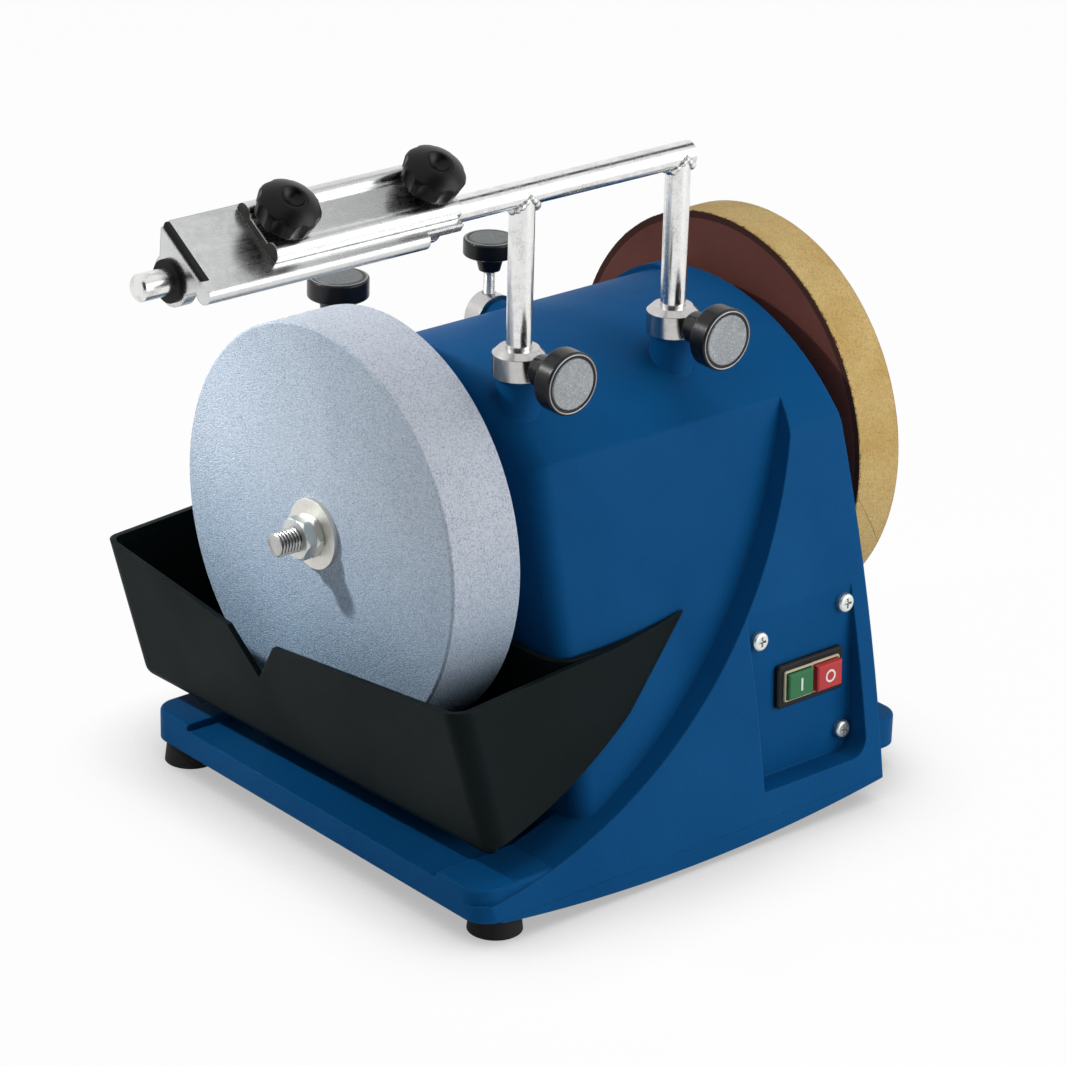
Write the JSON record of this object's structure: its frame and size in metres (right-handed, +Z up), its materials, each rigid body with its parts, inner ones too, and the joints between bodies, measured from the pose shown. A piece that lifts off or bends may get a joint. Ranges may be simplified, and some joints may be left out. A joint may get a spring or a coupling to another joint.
{
  "type": "wet sharpening machine",
  "caption": "Bench wet sharpener: slow water-cooled stone over a tray, leather honing wheel, and an upright tool bar with a clamping jig, held by thumbscrew collars.",
  "frame": {"origin": "middle of the machine's footprint, on the surface under its feet", "axes": "+Z up, +X along the shaft from the stone towards the honing wheel, -Y out of the front with the switch"},
  "size_m": [0.441, 0.2842, 0.3572],
  "materials": {
    "blue_moulding": "fine-grained saturated blue",
    "black_rubber": "matt",
    "sheet_steel": "zinc plated",
    "bush_bronze": "oiled",
    "bright_steel": "bright plated",
    "turned_steel": "turned",
    "grey_stone": "pale blue-grey, granular",
    "wine_core": "dark wine-red board",
    "tan_leather": "suede",
    "wheel_plastic": "moulded",
    "copper_coil": "varnished copper wire",
    "cast_alloy": "die cast",
    "black_tray": "black with a green cast",
    "switch_black": "black",
    "button_green": "green",
    "button_red": "red",
    "jig_zinc": "bright zinc",
    "jig_bush_plastic": "black",
    "knob_black": "black",
    "cap_grey": "sparkling grey"
  },
  "bodies": {
    "housing": {"housing": "blue_moulding", "bottom_cover": "sheet_steel", "rubber_feet": "black_rubber", "base_screws": "sheet_steel", "shaft_bush_left": "bush_bronze", "shaft_bush_right": "bush_bronze", "collar_front_left": "bright_steel", "collar_front_right": "bright_steel", "collar_rear_left": "bright_steel", "collar_rear_right": "bright_steel", "switch_bezel": "switch_black", "panel_screws": "bright_steel", "motor_bracket": "sheet_steel", "motor_stator": "turned_steel", "motor_windings": "copper_coil", "motor_shield_left": "cast_alloy", "motor_shield_right": "cast_alloy", "motor_bearings": "turned_steel", "motor_screws": "sheet_steel", "run_capacitor": "cast_alloy", "cable_grommet": "black_rubber"},
    "shaft": {"main_shaft": "turned_steel", "grinding_stone": "grey_stone", "stone_flange": "turned_steel", "shaft_washers": "bright_steel", "shaft_nuts": "bright_steel", "honing_core": "wine_core", "honing_leather": "tan_leather", "honing_spacer": "turned_steel", "drive_wheel": "wheel_plastic", "drive_tyre": "black_rubber"},
    "motor_shaft": {"motor_shaft": "turned_steel", "motor_rotor": "turned_steel", "drive_roller": "turned_steel", "motor_fan": "wheel_plastic"},
    "support": {"support_bar": "bright_steel", "support_leg_left": "bright_steel", "support_leg_right": "bright_steel"},
    "jig_bushes": {"jig_bushes": "jig_bush_plastic"},
    "jig": {"jig_base": "jig_zinc", "jig_stud_left": "bright_steel", "jig_stud_right": "bright_steel"},
    "jig_clamp": {"jig_clamp_plate": "jig_zinc"},
    "jig_knob_left": {"jig_knob_left": "knob_black"},
    "jig_knob_right": {"jig_knob_right": "knob_black"},
    "start_button": {"start_button": "button_green"},
    "stop_button": {"stop_button": "button_red"},
    "water_tray": {"water_tray": "black_tray"},
    "thumb_stud_front_left": {"thumb_stud_front_left": "bright_steel"},
    "thumb_knob_front_left": {"thumb_knob_front_left": "knob_black", "thumb_cap_front_left": "cap_grey"},
    "thumb_stud_front_right": {"thumb_stud_front_right": "bright_steel"},
    "thumb_knob_front_right": {"thumb_knob_front_right": "knob_black", "thumb_cap_front_right": "cap_grey"},
    "thumb_stud_rear_left": {"thumb_stud_rear_left": "bright_steel"},
    "thumb_knob_rear_left": {"thumb_knob_rear_left": "knob_black", "thumb_cap_rear_left": "cap_grey"},
    "thumb_stud_rear_right": {"thumb_stud_rear_right": "bright_steel"},
    "thumb_knob_rear_right": {"thumb_knob_rear_right": "knob_black", "thumb_cap_rear_right": "cap_grey"}
  },
  "joints": [
    {"name": "shaft_spin", "type": "hinge", "parent": "housing", "child": "shaft", "pos_m": [-0.0795, 0.00288, 0.1526], "axis": [1, 0, 0], "continuous": true},
    {"name": "motor_spin", "type": "hinge", "parent": "housing", "child": "motor_shaft", "pos_m": [0.0205, -0.04912, 0.10832], "axis": [1, 0, 0], "continuous": true},
    {"name": "support_height", "type": "slide", "parent": "housing", "child": "support", "axis": [0, 0, 1], "range_m": [-0.05, 0.02]},
    {"name": "jig_slide", "type": "slide", "parent": "support", "child": "jig_bushes", "axis": [1, 0, 0], "range_m": [-0.014, 0.04]},
    {"name": "jig_tilt", "type": "hinge", "parent": "jig_bushes", "child": "jig", "pos_m": [-0.1345, -0.05712, 0.3201], "axis": [1, 0, 0], "range_deg": [-75, 75]},
    {"name": "jig_clamp_slide", "type": "slide", "parent": "jig", "child": "jig_clamp", "axis": [0, -0.5402, 0.8415], "range_m": [0, 0.0075]},
    {"name": "start_press", "type": "slide", "parent": "housing", "child": "start_button", "axis": [0, 0.9989, -0.0471], "range_m": [0, 0.003], "stiffness_N_per_m": 600, "springref_m": -0.001},
    {"name": "stop_press", "type": "slide", "parent": "housing", "child": "stop_button", "axis": [0, 0.9989, -0.0471], "range_m": [0, 0.003], "stiffness_N_per_m": 600, "springref_m": -0.001},
    {"name": "tray_lift", "type": "slide", "parent": "housing", "child": "water_tray", "axis": [0, 0, 1], "range_m": [0, 0.008]},
    {"name": "jig_knob_left_turn", "type": "hinge", "parent": "jig_clamp", "child": "jig_knob_left", "pos_m": [-0.1545, -0.07305, 0.34492], "axis": [0, -0.5402, 0.8415], "range_deg": [0, 2700]},
    {"name": "jig_knob_right_turn", "type": "hinge", "parent": "jig_clamp", "child": "jig_knob_right", "pos_m": [-0.0757, -0.07305, 0.34492], "axis": [0, -0.5402, 0.8415], "range_deg": [0, 2700]},
    {"name": "thumb_stud_front_left_travel", "type": "slide", "parent": "housing", "child": "thumb_stud_front_left", "axis": [0, -1, 0], "range_m": [0, 0.0055]},
    {"name": "thumb_knob_front_left_turn", "type": "hinge", "parent": "thumb_stud_front_left", "child": "thumb_knob_front_left", "pos_m": [-0.01, -0.08712, 0.24035], "axis": [0, -1, 0], "range_deg": [0, 1980]},
    {"name": "thumb_stud_front_right_travel", "type": "slide", "parent": "housing", "child": "thumb_stud_front_right", "axis": [0, -1, 0], "range_m": [0, 0.0055]},
    {"name": "thumb_knob_front_right_turn", "type": "hinge", "parent": "thumb_stud_front_right", "child": "thumb_knob_front_right", "pos_m": [0.0842, -0.08712, 0.24035], "axis": [0, -1, 0], "range_deg": [0, 1980]},
    {"name": "thumb_stud_rear_left_travel", "type": "slide", "parent": "housing", "child": "thumb_stud_rear_left", "axis": [0, 0, 1], "range_m": [0, 0.0055]},
    {"name": "thumb_knob_rear_left_turn", "type": "hinge", "parent": "thumb_stud_rear_left", "child": "thumb_knob_rear_left", "pos_m": [-0.01, 0.07613, 0.2323], "axis": [0, 0, 1], "range_deg": [0, 1980]},
    {"name": "thumb_stud_rear_right_travel", "type": "slide", "parent": "housing", "child": "thumb_stud_rear_right", "axis": [0, 0, 1], "range_m": [0, 0.0055]},
    {"name": "thumb_knob_rear_right_turn", "type": "hinge", "parent": "thumb_stud_rear_right", "child": "thumb_knob_rear_right", "pos_m": [0.0842, 0.07613, 0.2323], "axis": [0, 0, 1], "range_deg": [0, 1980]}
  ],
  "couplings": [
    {"joint": "motor_spin", "follows": "shaft_spin", "ratio": -10.333},
    {"joint": "jig_knob_left_turn", "follows": "jig_clamp_slide", "rad_per_m": 6283.2},
    {"joint": "jig_knob_right_turn", "follows": "jig_clamp_slide", "rad_per_m": 6283.2},
    {"joint": "thumb_knob_front_left_turn", "follows": "thumb_stud_front_left_travel", "rad_per_m": 6283.2},
    {"joint": "thumb_knob_front_right_turn", "follows": "thumb_stud_front_right_travel", "rad_per_m": 6283.2},
    {"joint": "thumb_knob_rear_left_turn", "follows": "thumb_stud_rear_left_travel", "rad_per_m": 6283.2},
    {"joint": "thumb_knob_rear_right_turn", "follows": "thumb_stud_rear_right_travel", "rad_per_m": 6283.2}
  ]
}
